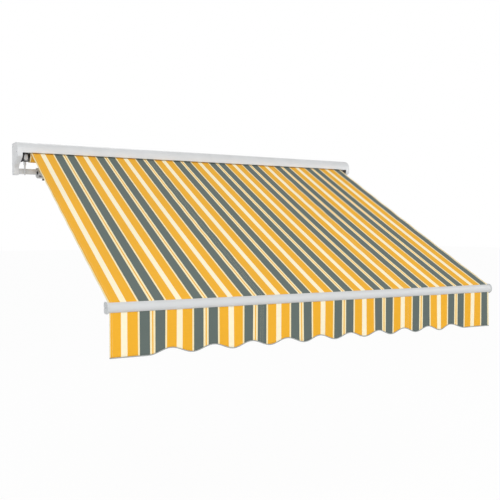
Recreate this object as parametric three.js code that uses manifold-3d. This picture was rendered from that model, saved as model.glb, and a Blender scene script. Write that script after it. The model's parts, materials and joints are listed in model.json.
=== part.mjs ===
// A retractable awning: two folding arms carry a front bar away from a wall, and a striped fabric
// unrolls between the bar and a roller under a hood. It is shown pulled out.
// Millimetres. +X runs along the wall, +Y points into the wall, +Z is up.
// The origin is the centre of the middle wall bracket's face on the wall, level with the torsion bar.
import * as THREE from "three";
import { mergeVertices } from "three/addons/utils/BufferGeometryUtils.js";
import Module from "manifold-3d";

// Driving dimensions
const OVERALL_WIDTH = 3050;
const CANOPY_SLOPE = THREE.MathUtils.degToRad(28.44);
const FIT = 0.4; // running and seating gap between neighbours
const FABRIC = { left: -1415, right: 1425, thickness: 1.6 };
const BRACKET_SPACING = 1150;

const TORSION_BAR = { y: -38, z: 0, side: 40, wall: 3, corner: 4 };
const CAP = { outer: OVERALL_WIDTH / 2, width: 38, skin: 4, rim: 3.5, bevel: 3 };
const CAP_INNER_X = CAP.outer - CAP.width;
const SIDE_PLATE = { thickness: 5, inset: CAP.rim + FIT };
const HOOD = { top: 211, rear: -6, front: -200, lip: 136, radius: 75, skin: 2.5 };

const ROLLER = { y: -108, z: 111, tubeRadius: 39, tubeWall: 2, rollRadius: 48 };
const CRANK = { x: -1459, y: -136, rodRadius: 6.3, eyeRadius: 13, eyeWire: 4, eyeZ: -19 };

const SHOULDER = { x: 1310, y: -140, z: -20 };
const TILT_AXIS = { y: -92, z: -10 };
const WRIST = { y: -1896, z: -870 };
const OPEN_HALF_ANGLE = THREE.MathUtils.degToRad(12);
const ELBOW_OFFSET = 28; // pivot to tube centre line, so that the folded tubes lie side by side
const UPPER_TUBE = { width: 36, height: 50, wall: 3, corner: 9 };
const FORE_TUBE = { width: 32, height: 42, wall: 2.5, corner: 8 };
const PIN_RADIUS = 7.8;
const BORE_RADIUS = 8.4;

const BAR = { y: -1966, z: -872.4, left: -1427, right: 1440, capWidth: 6, wall: 2.5, web: [-0.5, 3] };
const VALANCE = { drop: 254, wave: 32, thickness: 1.6 };
const WAVE = { count: 10, firstCrest: -1062, pitch: 265, shrink: 3.35, steps: 8 };

// Colours and finishes
const material = (color, roughness, metalness) =>
  new THREE.MeshStandardMaterial({ color, roughness, metalness });
const FINISH = {
  coated: material("#dcdcde", 0.42, 0.1),
  painted: material("#d4d5d8", 0.45, 0.1),
  cast: material("#c9cbcc", 0.5, 0.2),
  zinc: material("#8d9092", 0.4, 0.9),
  dark: material("#303134", 0.45, 0.8),
  black: material("#25272a", 0.55, 0),
  fabric: material("#f0b235", 0.9, 0),
};

const wasm = await Module();
wasm.setup();

// Joining and cutting
function toSolid(geometry) {
  const bare = geometry.clone();
  bare.deleteAttribute("normal");
  bare.deleteAttribute("uv");
  const merged = mergeVertices(bare, 1e-4);
  const vertProperties = merged.attributes.position.array;
  const triVerts = new Uint32Array(merged.index.array);
  return new wasm.Manifold(new wasm.Mesh({ numProp: 3, vertProperties, triVerts }));
}

function toGeometry(solid) {
  const { vertProperties, triVerts } = solid.getMesh();
  const geometry = new THREE.BufferGeometry();
  geometry.setAttribute("position", new THREE.BufferAttribute(vertProperties, 3));
  geometry.setIndex(new THREE.BufferAttribute(triVerts, 1));
  geometry.computeVertexNormals();
  return geometry;
}

const join = (...parts) => toGeometry(parts.map(toSolid).reduce((a, b) => a.add(b)));
const cut = (body, ...tools) =>
  toGeometry(tools.map(toSolid).reduce((a, b) => a.subtract(b), toSolid(body)));

// Basic forms
const polygon = (points) => new THREE.Shape(points.map(([u, v]) => new THREE.Vector2(u, v)));

function roundedRect(width, height, corner) {
  const [u, v] = [width / 2, height / 2];
  const shape = new THREE.Shape();
  shape.moveTo(-u + corner, -v);
  shape.lineTo(u - corner, -v);
  shape.absarc(u - corner, -v + corner, corner, -Math.PI / 2, 0);
  shape.absarc(u - corner, v - corner, corner, 0, Math.PI / 2);
  shape.absarc(-u + corner, v - corner, corner, Math.PI / 2, Math.PI);
  shape.absarc(-u + corner, -v + corner, corner, Math.PI, Math.PI * 1.5);
  return shape;
}

function circle(u, v, radius) {
  return new THREE.Shape().absarc(u, v, radius, 0, Math.PI * 2);
}

// A round ear that runs by two tangents to the points a and b, a lying anticlockwise of b
function ear(u, v, radius, a, b) {
  const tangent = ([pu, pv], turn) => {
    const reach = Math.hypot(pu - u, pv - v);
    return Math.atan2(pv - v, pu - u) + turn * Math.acos(radius / reach);
  };
  const start = tangent(a, 1);
  let end = tangent(b, -1);
  while (end < start) end += Math.PI * 2;
  const shape = new THREE.Shape();
  shape.moveTo(...a);
  shape.absarc(u, v, radius, start, end);
  shape.lineTo(...b);
  return shape;
}

// An outline in Y and Z drawn out along X
function alongX(outline, x0, x1, curveSegments = 6, bevel = null) {
  const options = { depth: x1 - x0, bevelEnabled: false, curveSegments, ...bevel };
  const turned = new THREE.Matrix4().makeBasis(
    new THREE.Vector3(0, 1, 0),
    new THREE.Vector3(0, 0, 1),
    new THREE.Vector3(1, 0, 0),
  );
  return new THREE.ExtrudeGeometry(outline, options).applyMatrix4(turned).translate(x0, 0, 0);
}

// An outline in X and Y drawn out along Z
function plate(outline, z0, z1, curveSegments = 8) {
  const options = { depth: z1 - z0, bevelEnabled: false, curveSegments };
  return new THREE.ExtrudeGeometry(outline, options).translate(0, 0, z0);
}

const block = ([x0, x1], [y0, y1], [z0, z1]) =>
  new THREE.BoxGeometry(x1 - x0, y1 - y0, z1 - z0).translate(
    (x0 + x1) / 2,
    (y0 + y1) / 2,
    (z0 + z1) / 2,
  );

// Round bars along X and Z, centred on the other two coordinates
const rodX = (radius, x0, x1, y, z, sides = 12) =>
  new THREE.CylinderGeometry(radius, radius, x1 - x0, sides)
    .rotateZ(Math.PI / 2)
    .translate((x0 + x1) / 2, y, z);
const rodZ = (radius, z0, z1, x, y, sides = 12) =>
  new THREE.CylinderGeometry(radius, radius, z1 - z0, sides)
    .rotateX(Math.PI / 2)
    .translate(x, y, (z0 + z1) / 2);

// A turned part on the X axis, from [x, radius] pairs
const turnedX = (profile, y, z, sides = 20) =>
  new THREE.LatheGeometry(
    profile.map(([x, radius]) => new THREE.Vector2(radius, x)),
    sides,
  )
    .rotateZ(-Math.PI / 2)
    .translate(0, y, z);

function named(name, geometry, finish) {
  const mesh = new THREE.Mesh(geometry, finish);
  mesh.name = name;
  return mesh;
}

// What follows from the driving dimensions
const armRun = Math.hypot(SHOULDER.y - WRIST.y, SHOULDER.z - WRIST.z);
const armSlope = Math.atan2(SHOULDER.z - WRIST.z, SHOULDER.y - WRIST.y);
const armReach = armRun / (2 * Math.cos(OPEN_HALF_ANGLE)); // pivot to pivot, both arms alike
const armLength = Math.sqrt(armReach ** 2 - ELBOW_OFFSET ** 2); // along the tube
const foldTurn = Math.PI / 2 - OPEN_HALF_ANGLE - Math.asin(ELBOW_OFFSET / armReach);

// Torsion bar and wall brackets

function torsionBar() {
  const { side, wall, corner, y, z } = TORSION_BAR;
  const outline = roundedRect(side, side, corner);
  outline.holes.push(roundedRect(side - 2 * wall, side - 2 * wall, corner - 2));
  const end = CAP_INNER_X - FIT;
  return named("torsion_bar", alongX(outline, -end, end, 2).translate(0, y, z), FINISH.painted);
}

const BRACKET = { half: 45, height: 75, base: 10, jawTop: 31, jawFront: -66, boltY: -70 };

// A hooked jaw that the torsion bar drops into, on a plate with four bolt holes
function wallBracket(name, x) {
  const [near, far] = [-18 + FIT, -58 - FIT];
  const seat = TORSION_BAR.side / 2 + FIT;
  const { half, height, base, jawTop, jawFront, boltY } = BRACKET;
  const profile = polygon([
    [0, -height], [0, height], [-base, height], [-base, jawTop + 5], [-base - 5, jawTop],
    [jawFront + 4, jawTop], [jawFront, jawTop - 4], [jawFront, 6], [far, 6], [far, seat],
    [near, seat], [near, -seat], [boltY - 8, -seat], [boltY - 8, -jawTop],
    [-base - 5, -jawTop], [-base, -jawTop - 5], [-base, -height],
  ]);
  const bolts = [-1, 1].flatMap((across) =>
    [-1, 1].map((up) =>
      new THREE.CylinderGeometry(6.5, 6.5, 60, 12).translate(across * 30, -20, up * 58),
    ),
  );
  const clampHole = rodZ(5.6, -60, -10, 0, boltY, 12);
  const body = cut(alongX(profile, -half, half), ...bolts, clampHole);
  return named(name, body.translate(x, 0, 0), FINISH.cast);
}

// The wedge that closes the jaw from the front, drawn up by its hexagon bolt
function bracketClamp(name, x) {
  const [bottom, top, back] = [-TORSION_BAR.side / 2, 5, -58 - FIT];
  const wedge = alongX(
    polygon([[back, bottom], [back, top], [-66, top], [-78, bottom + 8], [-78, bottom]]),
    -32,
    32,
  );
  const shank = rodZ(5, -36, bottom + 4, 0, BRACKET.boltY, 12);
  const head = rodZ(9.5, -BRACKET.jawTop - FIT - 7, -BRACKET.jawTop - FIT, 0, BRACKET.boltY, 6);
  return named(name, join(wedge, shank, head).translate(x, 0, 0), FINISH.zinc);
}

// A bent strap from the wall bracket up and forward under the hood
function hoodBracket(name, x) {
  const back = -BRACKET.base - FIT;
  const top = HOOD.top - HOOD.skin - FIT;
  const strap = polygon([
    [back, 42], [back, top], [-130, top], [-130, top - 4], [back - 4, top - 4], [back - 4, 42],
  ]);
  const rib = polygon([[back - 3, 140], [back - 3, top - 2], [-80, top - 2], [-80, top - 8]]);
  return named(name, join(alongX(strap, x - 20, x + 20), alongX(rib, x - 2, x + 2)), FINISH.zinc);
}

// Hood, end caps and side plates

function hood() {
  const { top, rear, front, lip, radius, skin } = HOOD;
  const [centreY, inner] = [front + radius, radius - skin];
  const shape = new THREE.Shape();
  shape.moveTo(rear, 165);
  shape.lineTo(rear, top - 4);
  shape.absarc(rear - 4, top - 4, 4, 0, Math.PI / 2);
  shape.absarc(centreY, lip, radius, Math.PI / 2, Math.PI);
  shape.absarc(front + 5, lip - 3, 5, Math.PI, Math.PI * 1.5);
  shape.lineTo(front + 13, lip - 8);
  shape.lineTo(front + 13, lip - 5.5);
  shape.absarc(front + 5, lip - 3, skin, Math.PI * 1.5, Math.PI, true);
  shape.absarc(centreY, lip, inner, Math.PI, Math.PI / 2, true);
  shape.lineTo(rear - 4, top - skin);
  shape.lineTo(rear - skin, top - 4);
  shape.lineTo(rear - skin, 165);
  const end = CAP_INNER_X - FIT;
  return named("hood", alongX(shape, -end, end, 8), FINISH.coated);
}

// Side view of the awning's ends: deep under the hood, cut back to the torsion bar below
function endOutline(inset) {
  const [back, front, bottom] = [-2 - inset, HOOD.front + inset, -28 + inset];
  const shape = new THREE.Shape();
  shape.moveTo(back, bottom);
  shape.lineTo(back, HOOD.top - inset);
  shape.absarc(HOOD.front + HOOD.radius, HOOD.lip, HOOD.radius - inset, Math.PI / 2, Math.PI);
  shape.lineTo(front, 108 + inset);
  shape.quadraticCurveTo(front, 98 + inset, front + 12, 94 + inset);
  shape.lineTo(-72 + inset, 38 + inset);
  shape.quadraticCurveTo(-62 + inset, 33 + inset, -62 + inset, 22);
  shape.lineTo(-62 + inset, bottom + 12);
  shape.absarc(-50 + inset, bottom + 12, 12, Math.PI, Math.PI * 1.5);
  return shape;
}

function endCap(side) {
  const { outer, skin, rim, bevel } = CAP;
  const rounded = { bevelEnabled: true, bevelSize: bevel, bevelThickness: bevel, bevelSegments: 1 };
  const shell = alongX(endOutline(bevel), -outer + bevel, -CAP_INNER_X + 20, 6, rounded);
  const hollow = alongX(endOutline(rim), -outer + skin, -CAP_INNER_X + 40, 6);
  const trim = block([-CAP_INNER_X, -CAP_INNER_X + 60], [-300, 50], [-100, 300]);
  return named(`end_cap_${side}`, cut(shell, hollow, trim), FINISH.coated);
}

function sidePlate(side) {
  const outline = endOutline(SIDE_PLATE.inset);
  const inner = -CAP_INNER_X - FIT;
  const body = alongX(outline, inner - SIDE_PLATE.thickness, inner, 6);
  return named(`side_plate_${side}`, body, FINISH.zinc);
}

// Roller, its ends and the crank gear

function roller() {
  const { y, z, tubeRadius, tubeWall, rollRadius } = ROLLER;
  const [start, end] = [FABRIC.left, FABRIC.right];
  const ring = (outer, inner, x0, x1) =>
    turnedX([[x0, outer], [x1, outer], [x1, inner], [x0, inner], [x0, outer]], y, z, 24);
  const plug = (turn) => {
    const face = turn < 0 ? start : end;
    const [flange, collar, tip] = turn < 0 ? [3, 16, 41] : [3, 12, 38];
    const profile = [
      [face - turn * 40, 0], [face - turn * 40, 36], [face + turn * FIT, 36],
      [face + turn * FIT, rollRadius - 1], [face + turn * flange, rollRadius - 1],
      [face + turn * flange, 18], [face + turn * collar, 18], [face + turn * collar, PIN_RADIUS],
      [face + turn * tip, PIN_RADIUS], [face + turn * tip, 0],
    ];
    return turnedX(turn < 0 ? profile.reverse() : profile, y, z, 16);
  };
  return [
    named("roller_tube", ring(tubeRadius, tubeRadius - tubeWall, start, end), FINISH.zinc),
    named("fabric_roll", ring(rollRadius, tubeRadius + 0.6, start, end), FINISH.fabric),
    named("roller_drive_plug", plug(-1), FINISH.black),
    named("roller_idler_plug", plug(1), FINISH.black),
  ];
}

function gearMount() {
  const outline = roundedRect(88, 88, 16);
  const body = alongX(outline, -CAP_INNER_X + FIT, CRANK.x - 12.2, 4);
  return named("gear_mount", body.translate(0, ROLLER.y, ROLLER.z), FINISH.black);
}

// A closed worm gear case, round about the roller axis, with the worm's neck hanging in front
function gearCase() {
  const { x, y } = CRANK;
  const [left, right] = [x - 11.8, x + 22];
  const drum = alongX(circle(ROLLER.y, ROLLER.z, 33), left, right, 16);
  const nose = alongX(
    polygon([[-112, 144], [y - 10, 136], [y - 14, 126], [y - 14, 72], [y - 10, 64], [-112, 78]]),
    left,
    right,
  );
  const neck = new THREE.CylinderGeometry(11, 8.6, 26, 16).rotateX(Math.PI / 2).translate(x, y, 58);
  const wormBore = rodZ(CRANK.rodRadius + 0.5, 30, 96, x, y, 16);
  const driveBore = rodX(BORE_RADIUS, x + 2, right + 10, ROLLER.y, ROLLER.z);
  return named("gear_case", cut(join(drum, nose, neck), wormBore, driveBore), FINISH.cast);
}

function crankEye() {
  const { x, y, rodRadius, eyeRadius, eyeWire, eyeZ } = CRANK;
  const rod = rodZ(rodRadius, eyeZ + eyeRadius - 1, 92, x, y, 12);
  const eye = new THREE.TorusGeometry(eyeRadius, eyeWire, 8, 16).rotateY(Math.PI / 2);
  return named("crank_eye", join(rod, eye.translate(x, y, eyeZ)), FINISH.cast);
}

function idlerBracket() {
  const inner = FABRIC.right + 15;
  const base = alongX(roundedRect(84, 84, 10), CAP_INNER_X - 14, CAP_INNER_X - FIT, 4);
  const boss = alongX(circle(0, 0, 20), inner, CAP_INNER_X - 12, 10);
  const body = join(base, boss).translate(0, ROLLER.y, ROLLER.z);
  const bore = rodX(BORE_RADIUS, inner - 5, inner + 30, ROLLER.y, ROLLER.z);
  return named("idler_bracket", cut(body, bore), FINISH.black);
}

// Shoulders

const CHEEK = { inner: 33.7, outer: 42, radius: 18 };

// A sleeve on the torsion bar with two cheeks in front and a shelf for the pitch screw
function shoulderBracket(side) {
  const sleeve = polygon([
    [-12, 24], [-18, 30], [-64, 30], [-72, 22], [-72, -46], [-60, -50], [-22, -36], [-12, -28],
  ]);
  const seat = TORSION_BAR.side / 2 + FIT;
  const { y } = TORSION_BAR;
  const window = [[y - seat, -seat], [y - seat, seat], [y + seat, seat], [y + seat, -seat]];
  sleeve.holes.push(polygon(window));
  const cheek = ear(TILT_AXIS.y, TILT_AXIS.z, CHEEK.radius, [-70, 28], [-70, -46]);
  const cheeks = [-1, 1].map((turn) => {
    const [a, b] = [turn * CHEEK.inner, turn * CHEEK.outer];
    return alongX(cheek, Math.min(a, b), Math.max(a, b), 12);
  });
  const shelf = block([-CHEEK.inner - 2, CHEEK.inner + 2], [-84, -70], [-48, -38]);
  const body = join(alongX(sleeve, -CHEEK.outer, CHEEK.outer), ...cheeks, shelf);
  const tiltBore = rodX(BORE_RADIUS, -60, 60, TILT_AXIS.y, TILT_AXIS.z);
  const screwBore = rodZ(5.6, -60, -30, 0, -78, 12);
  const bracket = cut(body, tiltBore, screwBore).translate(-SHOULDER.x, 0, 0);
  return named(`shoulder_bracket_${side}`, bracket, FINISH.cast);
}

function tiltBolt(side) {
  const { y, z } = TILT_AXIS;
  const edge = CHEEK.outer + FIT;
  const shank = rodX(PIN_RADIUS, -edge - 4, edge + 4, y, z);
  const heads = [rodX(12.5, -edge - 8, -edge, y, z, 6), rodX(12.5, edge, edge + 8, y, z, 6)];
  return named(
    `tilt_bolt_${side}`,
    join(shank, ...heads).translate(-SHOULDER.x, 0, 0),
    FINISH.dark,
  );
}

function pitchScrew(side) {
  const shank = rodZ(5, -62, -30.5, 0, -78, 12);
  const head = rodZ(9, -66, -58, 0, -78, 6);
  return named(`pitch_screw_${side}`, join(shank, head).translate(-SHOULDER.x, 0, 0), FINISH.dark);
}

// From here on pieces are drawn in the arm's plane: X as before, Y up the slope, Z square to it

// The tilting block: a barrel on the tilt bolt, a web and two ears above and below the arm
function shoulderBlock(side) {
  const [dy, dz] = [TILT_AXIS.y - SHOULDER.y, TILT_AXIS.z - SHOULDER.z];
  const barrelY = dy * Math.cos(armSlope) + dz * Math.sin(armSlope);
  const barrelZ = dz * Math.cos(armSlope) - dy * Math.sin(armSlope);
  const barrel = rodX(18, -CHEEK.inner + FIT, CHEEK.inner - FIT, barrelY, barrelZ, 14);
  const web = block([-22, 22], [26, barrelY], [-31.5, 31.5]);
  const lug = ear(0, 0, 24, [-22, 30], [22, 30]);
  const ears = [plate(lug, 20.5, 31.5, 10), plate(lug, -31.5, -20.5, 10)];
  const tiltBore = rodX(BORE_RADIUS, -60, 60, barrelY, barrelZ);
  const foldBore = rodZ(BORE_RADIUS, -60, 60, 0, 0);
  const body = cut(join(barrel, web, ...ears), tiltBore, foldBore);
  return named(`shoulder_block_${side}`, body, FINISH.cast);
}

// A plain pin with a low head at both ends
function pin(name, half, finish = FINISH.zinc) {
  const shank = rodZ(PIN_RADIUS, -half - 2, half + 2, 0, 0);
  const heads = [rodZ(12, half, half + 4, 0, 0), rodZ(12, -half - 4, -half, 0, 0)];
  return named(name, join(shank, ...heads), finish);
}

// Arms, each drawn along X with its tube on the line y = lane

function tube(name, size, x0, x1, lane) {
  const { width, height, wall, corner } = size;
  const outline = roundedRect(width, height, corner);
  outline.holes.push(roundedRect(width - 2 * wall, height - 2 * wall, corner - wall));
  return named(name, alongX(outline, x0, x1, 3).translate(0, lane, 0), FINISH.coated);
}

// The collar that a tube butts against, and the spigot inside the tube
function socket(size, x0, x1, lane, spigot, collarHeight = size.height) {
  const { width, height, wall, corner } = size;
  const collar = alongX(roundedRect(width, collarHeight, corner), x0, x1, 3);
  const slack = 2 * wall + 1;
  const [s0, s1] = spigot > 0 ? [x1 - 1, x1 + spigot] : [x0 + spigot, x0 + 1];
  const core = alongX(roundedRect(width - slack, height - slack, corner - wall), s0, s1, 1);
  return join(collar, core).translate(0, lane, 0);
}

const KNUCKLE = { shoulder: 20, arm: 16.6, lugInner: 17, lugOuter: 27 };

function upperArm(side) {
  const half = UPPER_TUBE.width / 2;
  const start = 40;
  const end = armLength - 60;
  const shoulderEar = ear(0, 0, 22, [34, half - 1], [34, 1 - half]);
  const shoulder = cut(
    join(
      plate(shoulderEar, -KNUCKLE.shoulder, KNUCKLE.shoulder, 10),
      socket(UPPER_TUBE, 31, start, 0, 50),
    ),
    rodZ(BORE_RADIUS, -60, 60, 0, 0),
  );
  const fork = ear(armLength, -ELBOW_OFFSET, 22, [end, -half], [end, half]);
  const { lugInner, lugOuter } = KNUCKLE;
  const elbow = cut(
    join(
      plate(fork, lugInner, lugOuter, 10),
      plate(fork, -lugOuter, -lugInner, 10),
      socket(UPPER_TUBE, end, end + 10, 0, -50, 2 * lugOuter),
    ),
    rodZ(BORE_RADIUS, -60, 60, armLength, -ELBOW_OFFSET),
  );
  const elbowPin = pin(`elbow_pin_${side}`, lugOuter + FIT);
  elbowPin.position.set(armLength, -ELBOW_OFFSET, 0);
  return [
    named(`shoulder_knuckle_${side}`, shoulder, FINISH.cast),
    tube(`upper_arm_tube_${side}`, UPPER_TUBE, start + FIT, end - FIT, 0),
    named(`elbow_fork_${side}`, elbow, FINISH.cast),
    elbowPin,
  ];
}

// Close wound spring wire seen as a ribbed bar, between two turned end pieces
function armSpring(side, x0, turns, wire, radius, lane) {
  const profile = [[x0 - 14, 0], [x0 - 14, radius - 3], [x0, radius - 3]];
  for (let i = 0; i < turns; i++) {
    profile.push([x0 + i * wire, radius - 1.5], [x0 + (i + 0.5) * wire, radius]);
  }
  const end = x0 + turns * wire;
  profile.push([end, radius - 1.5], [end, radius - 3], [end + 14, radius - 3], [end + 14, 0]);
  return named(`arm_spring_${side}`, turnedX(profile, lane, 0, 8), FINISH.zinc);
}

function forearm(side) {
  const lane = -ELBOW_OFFSET;
  const half = FORE_TUBE.width / 2 - 2;
  const [elbowEnd, wristEnd] = [-60, -armLength + 38];
  const elbowEar = ear(0, 0, 22, [elbowEnd + 8, lane - half], [elbowEnd + 8, lane + half]);
  const elbow = cut(
    join(
      plate(elbowEar, -KNUCKLE.arm, KNUCKLE.arm, 10),
      socket(FORE_TUBE, elbowEnd, elbowEnd + 10, lane, -50),
    ),
    rodZ(BORE_RADIUS, -60, 60, 0, 0),
  );
  const wristEar = ear(
    -armLength, lane, 20, [wristEnd - 8, lane + half], [wristEnd - 8, lane - half],
  );
  const wrist = cut(
    join(
      plate(wristEar, -KNUCKLE.arm, KNUCKLE.arm, 10),
      socket(FORE_TUBE, wristEnd - 10, wristEnd, lane, 50),
    ),
    rodZ(BORE_RADIUS, -60, 60, -armLength, lane),
  );
  return [
    named(`elbow_knuckle_${side}`, elbow, FINISH.cast),
    tube(`forearm_tube_${side}`, FORE_TUBE, wristEnd + FIT, elbowEnd - FIT, lane),
    named(`wrist_knuckle_${side}`, wrist, FINISH.cast),
    armSpring(side, wristEnd + 70, 10, 49, 10, lane),
  ];
}

// Front bar, its end caps, wrist brackets and the valance

// Two lobes on the wall side and one full curve in front, drawn in by the inset for the walls' inside
function barOutline(inset = 0) {
  const [upper, lower] = [{ v: 11, radius: 18 - inset }, { v: -13, radius: 16 - inset }];
  const lobeU = 14;
  const gap = upper.v - lower.v;
  const dip = (upper.radius ** 2 - lower.radius ** 2 + gap ** 2) / (2 * gap);
  const notch = Math.sqrt(upper.radius ** 2 - dip ** 2);
  const shape = new THREE.Shape();
  shape.moveTo(lobeU, 29 - inset);
  shape.absellipse(-6, 0, 26 - inset, 29 - inset, Math.PI / 2, Math.PI * 1.5, false, 0);
  shape.absarc(lobeU, lower.v, lower.radius, -Math.PI / 2, Math.atan2(gap - dip, notch));
  shape.absarc(lobeU, upper.v, upper.radius, Math.atan2(-dip, notch), Math.PI / 2);
  return shape;
}

const CANOPY_GROOVE = { u: -4, v: 19, radius: 4.8, slot: 1.9, mouth: 40 };
const VALANCE_GROOVE = { u: -18, v: -16, radius: 3.8, slot: 1.5, mouth: -40 };
const GROOVES = [CANOPY_GROOVE, VALANCE_GROOVE];
const GROOVE_WALL = 3;

// A round groove for a sewn-in rod, with its narrow mouth, past both ends of the bar
function groove({ u, v, radius, slot, mouth }, wall = 0) {
  const [x0, x1] = [BAR.left - 20, BAR.right + 20];
  const half = slot + wall;
  const mouthOutline = polygon([[u - half, v], [u + half, v], [u + half, mouth], [u - half, mouth]]);
  return join(alongX(circle(u, v, radius + wall), x0, x1, 6), alongX(mouthOutline, x0, x1));
}

// An extrusion with a chamber on each side of its web, the grooves standing into them
function frontBar() {
  const [x0, x1] = [BAR.left, BAR.right];
  const web = block([x0 - 20, x1 + 20], BAR.web, [-30, 30]);
  const around = GROOVES.map((each) => groove(each, GROOVE_WALL));
  const chambers = cut(alongX(barOutline(BAR.wall), x0 - 10, x1 + 10, 6), web, ...around);
  const body = cut(alongX(barOutline(), x0, x1, 8), chambers, ...GROOVES.map((each) => groove(each)));
  return named("front_bar", body.translate(0, BAR.y, BAR.z), FINISH.coated);
}

function barCap(side, x0) {
  const rounded = { bevelEnabled: true, bevelSize: 1.5, bevelThickness: 1.5, bevelSegments: 1 };
  const shape = alongX(barOutline(), x0 + 1.5, x0 + BAR.capWidth - 1.5, 6, rounded);
  const body = shape.scale(1, 0.97, 0.97).translate(0, BAR.y, BAR.z);
  return named(`bar_cap_${side}`, body, FINISH.coated);
}

// Two ears round the forearm's end, on a saddle against the back of the bar
function wristBracket(side) {
  const { lugInner } = KNUCKLE;
  const lug = ear(0, 0, 22, [20, -30], [-20, -30]);
  const ears = join(
    plate(lug, lugInner, 26, 10),
    plate(lug, -26, -lugInner, 10),
    block([-20, 20], [-34, -24], [-26, 26]),
  ).rotateX(armSlope);
  const back = BAR.y + 32 + FIT - WRIST.y;
  const saddle = block([-30, 30], [back, back + 9], [-26, 26]);
  const behind = block([-60, 60], [back - 40, back], [-80, 80]);
  const bore = rodZ(BORE_RADIUS, -60, 60, 0, 0).rotateX(armSlope);
  const body = cut(join(ears, saddle), behind, bore);
  body.translate(-SHOULDER.x, WRIST.y, WRIST.z);
  return named(`wrist_bracket_${side}`, body, FINISH.cast);
}

function wristPin(side) {
  const mesh = pin(`wrist_pin_${side}`, 26 + FIT);
  mesh.position.set(-SHOULDER.x, WRIST.y, WRIST.z);
  mesh.rotation.x = armSlope;
  return mesh;
}

// The sewn rod's centre in the bar's groove
const grooveAt = ({ u, v }) => [BAR.y + u, BAR.z + v];

function valance() {
  const [y, z] = grooveAt(VALANCE_GROOVE);
  const half = VALANCE.thickness / 2;
  const low = z - VALANCE.drop;
  const edge = new THREE.Shape();
  edge.moveTo(FABRIC.left + 3, z);
  edge.lineTo(FABRIC.left + 3, low);
  for (let i = 0; i <= WAVE.count * WAVE.steps; i++) {
    const turn = i / WAVE.steps - 0.5; // whole numbers at the crests
    const x = WAVE.firstCrest + turn * WAVE.pitch - turn * turn * WAVE.shrink;
    edge.lineTo(x, low + (VALANCE.wave * (1 + Math.cos(turn * Math.PI * 2))) / 2);
  }
  edge.lineTo(FABRIC.right - 3, low);
  edge.lineTo(FABRIC.right - 3, z);
  const sheet = plate(edge, -half, half).rotateX(Math.PI / 2).translate(0, y, 0);
  const rod = rodX(3.2, FABRIC.left + 3, FABRIC.right - 3, y, z, 8);
  return named("valance", join(sheet, rod), FINISH.fabric);
}

// The taut sheet from the top of the roll down into the bar's groove
function canopy() {
  const [y, z] = grooveAt(CANOPY_GROOVE);
  const [run, rise] = [Math.cos(CANOPY_SLOPE), Math.sin(CANOPY_SLOPE)];
  const half = FABRIC.thickness / 2;
  const reach = ROLLER.rollRadius + FIT + half;
  const tangent = [ROLLER.y - reach * rise, ROLLER.z + reach * run];
  const height = tangent[1] + ((y - tangent[0]) * rise) / run;
  const top = [half * rise, half * run];
  const outline = polygon([
    [tangent[0] - top[0], tangent[1] + top[1]],
    [y - half, height + half / run],
    [y - half, z],
    [y + half, z],
    [y + half, height - half / run],
    [tangent[0] + top[0], tangent[1] - top[1]],
  ]);
  const sheet = alongX(outline, FABRIC.left, FABRIC.right);
  const rod = rodX(4.2, FABRIC.left, FABRIC.right, y, z, 8);
  return named("canopy", join(sheet, rod), FINISH.fabric);
}

// Assembly

const awning = new THREE.Group();

awning.add(torsionBar(), hood(), gearMount(), gearCase(), crankEye(), idlerBracket());
awning.add(...roller(), canopy(), frontBar(), valance());
awning.add(barCap("left", BAR.left - FIT - BAR.capWidth), barCap("right", BAR.right + FIT));

["left", "middle", "right"].forEach((place, index) => {
  const x = (index - 1) * BRACKET_SPACING;
  awning.add(wallBracket(`wall_bracket_${place}`, x), bracketClamp(`bracket_clamp_${place}`, x));
  awning.add(hoodBracket(`hood_bracket_${place}`, x));
});

for (const side of ["left", "right"]) {
  const half = new THREE.Group();
  half.scale.x = side === "left" ? 1 : -1;
  half.add(endCap(side), sidePlate(side));
  half.add(shoulderBracket(side), tiltBolt(side), pitchScrew(side));
  half.add(wristBracket(side), wristPin(side));

  const plane = new THREE.Group();
  plane.position.set(-SHOULDER.x, SHOULDER.y, SHOULDER.z);
  plane.rotation.x = armSlope;
  plane.add(shoulderBlock(side), pin(`shoulder_pin_${side}`, 31.5 + FIT));

  const upper = new THREE.Group();
  upper.rotation.z = -foldTurn;
  upper.add(...upperArm(side));

  const lower = new THREE.Group();
  lower.position.set(armReach * Math.sin(OPEN_HALF_ANGLE), -armReach * Math.cos(OPEN_HALF_ANGLE), 0);
  lower.rotation.z = foldTurn;
  lower.add(...forearm(side));

  plane.add(upper, lower);
  half.add(plane);
  awning.add(half);
}

export default awning;
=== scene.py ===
import json
import math

import bmesh
import bpy
from mathutils import Matrix, Vector

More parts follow.
